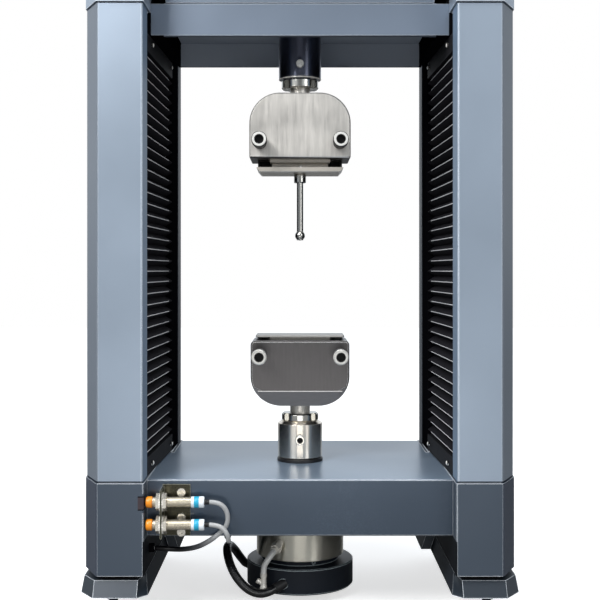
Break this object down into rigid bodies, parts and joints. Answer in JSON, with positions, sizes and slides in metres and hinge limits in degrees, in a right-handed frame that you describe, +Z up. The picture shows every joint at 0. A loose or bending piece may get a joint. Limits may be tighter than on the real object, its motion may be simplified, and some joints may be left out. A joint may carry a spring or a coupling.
{
  "type": "universal testing machine",
  "caption": "Table-top testing machine: two covered columns, a crosshead on ball screws, a ball stylus in the upper grip and a rotary lower grip.",
  "frame": {"origin": "floor point under the load axis, midway between the two columns and between their front and rear faces", "axes": "+X to the right seen from the front, +Y from the front to the rear, +Z up along the load axis"},
  "size_m": [0.4796, 0.314, 0.8],
  "materials": {
    "frame_paint": "satin",
    "cover_anodised": "satin",
    "crosshead_paint": "satin",
    "bright_steel": "satin",
    "grip_steel": "brushed",
    "polished_steel": "polished",
    "blackened_steel": "satin",
    "black_anodised": "satin",
    "black_plastic": "matte",
    "bellows_fabric": "matte",
    "pad_rubber": "matte",
    "belt_rubber": "matte",
    "cable_jacket": "satin",
    "braid": "matte",
    "sensor_metal": "satin"
  },
  "bodies": {
    "frame": {"table_beam": "frame_paint", "leg_housings": "frame_paint", "skid_feet": "frame_paint", "isolation_pads": "pad_rubber", "levelling_feet": "blackened_steel", "front_covers": "cover_anodised", "rear_covers": "cover_anodised", "head_housings": "frame_paint", "crown_beam": "frame_paint", "guide_rods": "polished_steel", "frame_bolts": "blackened_steel", "drive_motors": "black_anodised", "drive_belts": "belt_rubber", "bearings": "bright_steel", "lower_bellows": "bellows_fabric", "upper_bellows": "bellows_fabric", "bellows_frames": "black_anodised", "seal_ring": "black_plastic", "bearing_housing": "polished_steel", "rotary_drive": "black_anodised", "signal_cable": "braid", "power_cable": "cable_jacket", "cable_fittings": "bright_steel", "proximity_sensors": "sensor_metal", "sensor_nuts": "sensor_metal", "sensor_bracket": "bright_steel", "bracket_screws": "bright_steel", "sensor_target": "bright_steel", "sensor_cable_upper": "cable_jacket", "sensor_cable_lower": "cable_jacket", "connector_panel": "black_plastic"},
    "screw_left": {"ball_screw_left": "bright_steel"},
    "screw_right": {"ball_screw_right": "bright_steel"},
    "motor_left": {"motor_pulley_left": "bright_steel"},
    "motor_right": {"motor_pulley_right": "bright_steel"},
    "crosshead": {"bellows_bars": "black_anodised", "crosshead_beam": "crosshead_paint", "crosshead_cover": "crosshead_paint", "load_cell": "bright_steel", "ball_nuts": "bright_steel", "guide_bushes": "bright_steel", "upper_adapter": "blackened_steel", "upper_grip_body": "grip_steel", "tool_plate": "bright_steel", "stylus": "polished_steel"},
    "upper_locknut": {"upper_locknut": "polished_steel"},
    "upper_cross_screw": {"upper_cross_screw": "blackened_steel"},
    "upper_clamp": {"upper_clamp_plate": "grip_steel"},
    "upper_clamp_screw_left": {"upper_clamp_screw_left": "blackened_steel"},
    "upper_clamp_screw_right": {"upper_clamp_screw_right": "blackened_steel"},
    "turntable": {"anvil_plate": "bright_steel", "lower_grip_body": "grip_steel", "coupling": "polished_steel", "spindle": "bright_steel"},
    "lower_clamp": {"lower_clamp_plate": "grip_steel"},
    "lower_clamp_screw_left": {"lower_clamp_screw_left": "blackened_steel"},
    "lower_clamp_screw_right": {"lower_clamp_screw_right": "blackened_steel"},
    "lower_locknut": {"lower_locknut": "polished_steel"},
    "lower_cross_screw": {"lower_cross_screw": "blackened_steel"}
  },
  "joints": [
    {"name": "crosshead_travel", "type": "slide", "parent": "frame", "child": "crosshead", "axis": [0, 0, 1], "range_m": [-0.105, 0], "deforming": ["lower_bellows", "upper_bellows"]},
    {"name": "screw_turn_left", "type": "hinge", "parent": "frame", "child": "screw_left", "pos_m": [-0.205, 0, 0.4], "axis": [0, 0, -1], "range_deg": [-3781, 0]},
    {"name": "screw_turn_right", "type": "hinge", "parent": "frame", "child": "screw_right", "pos_m": [0.205, 0, 0.4], "axis": [0, 0, -1], "range_deg": [-3781, 0]},
    {"name": "motor_turn_left", "type": "hinge", "parent": "frame", "child": "motor_left", "pos_m": [-0.194, 0.114, 0.08], "axis": [0, 0, -1], "range_deg": [-7562, 0]},
    {"name": "motor_turn_right", "type": "hinge", "parent": "frame", "child": "motor_right", "pos_m": [0.194, 0.114, 0.08], "axis": [0, 0, -1], "range_deg": [-7562, 0]},
    {"name": "turntable_rotation", "type": "hinge", "parent": "frame", "child": "turntable", "pos_m": [0, 0, 0.157], "axis": [0, 0, 1], "continuous": true},
    {"name": "upper_clamp_travel", "type": "slide", "parent": "crosshead", "child": "upper_clamp", "axis": [0, -1, 0], "range_m": [0, 0.004]},
    {"name": "upper_clamp_screw_left_turn", "type": "hinge", "parent": "upper_clamp", "child": "upper_clamp_screw_left", "pos_m": [-0.0473, -0.05, 0.5388], "axis": [0, -1, 0], "range_deg": [0, 824]},
    {"name": "upper_clamp_screw_right_turn", "type": "hinge", "parent": "upper_clamp", "child": "upper_clamp_screw_right", "pos_m": [0.0473, -0.05, 0.5388], "axis": [0, -1, 0], "range_deg": [0, 824]},
    {"name": "upper_locknut_turn", "type": "hinge", "parent": "crosshead", "child": "upper_locknut", "pos_m": [0, 0, 0.612], "axis": [0, 0, 1], "range_deg": [0, 60]},
    {"name": "upper_cross_screw_turn", "type": "hinge", "parent": "crosshead", "child": "upper_cross_screw", "pos_m": [0, -0.03, 0.6328], "axis": [0, -1, 0], "range_deg": [0, 90]},
    {"name": "lower_clamp_travel", "type": "slide", "parent": "turntable", "child": "lower_clamp", "axis": [0, -1, 0], "range_m": [0, 0.004]},
    {"name": "lower_clamp_screw_left_turn", "type": "hinge", "parent": "lower_clamp", "child": "lower_clamp_screw_left", "pos_m": [-0.0473, -0.05, 0.2871], "axis": [0, -1, 0], "range_deg": [0, 824]},
    {"name": "lower_clamp_screw_right_turn", "type": "hinge", "parent": "lower_clamp", "child": "lower_clamp_screw_right", "pos_m": [0.0473, -0.05, 0.2871], "axis": [0, -1, 0], "range_deg": [0, 824]},
    {"name": "lower_locknut_turn", "type": "hinge", "parent": "turntable", "child": "lower_locknut", "pos_m": [0, 0, 0.2103], "axis": [0, 0, 1], "range_deg": [0, 60]},
    {"name": "lower_cross_screw_turn", "type": "hinge", "parent": "turntable", "child": "lower_cross_screw", "pos_m": [0, -0.03, 0.1854], "axis": [0, -1, 0], "range_deg": [0, 90]}
  ],
  "couplings": [
    {"joint": "screw_turn_left", "follows": "crosshead_travel", "rad_per_m": 628.32},
    {"joint": "screw_turn_right", "follows": "crosshead_travel", "rad_per_m": 628.32},
    {"joint": "motor_turn_left", "follows": "crosshead_travel", "rad_per_m": 1256.6},
    {"joint": "motor_turn_right", "follows": "crosshead_travel", "rad_per_m": 1256.6},
    {"joint": "upper_clamp_screw_left_turn", "follows": "upper_clamp_travel", "rad_per_m": 3590.4},
    {"joint": "upper_clamp_screw_right_turn", "follows": "upper_clamp_travel", "rad_per_m": 3590.4},
    {"joint": "lower_clamp_screw_left_turn", "follows": "lower_clamp_travel", "rad_per_m": 3590.4},
    {"joint": "lower_clamp_screw_right_turn", "follows": "lower_clamp_travel", "rad_per_m": 3590.4}
  ]
}
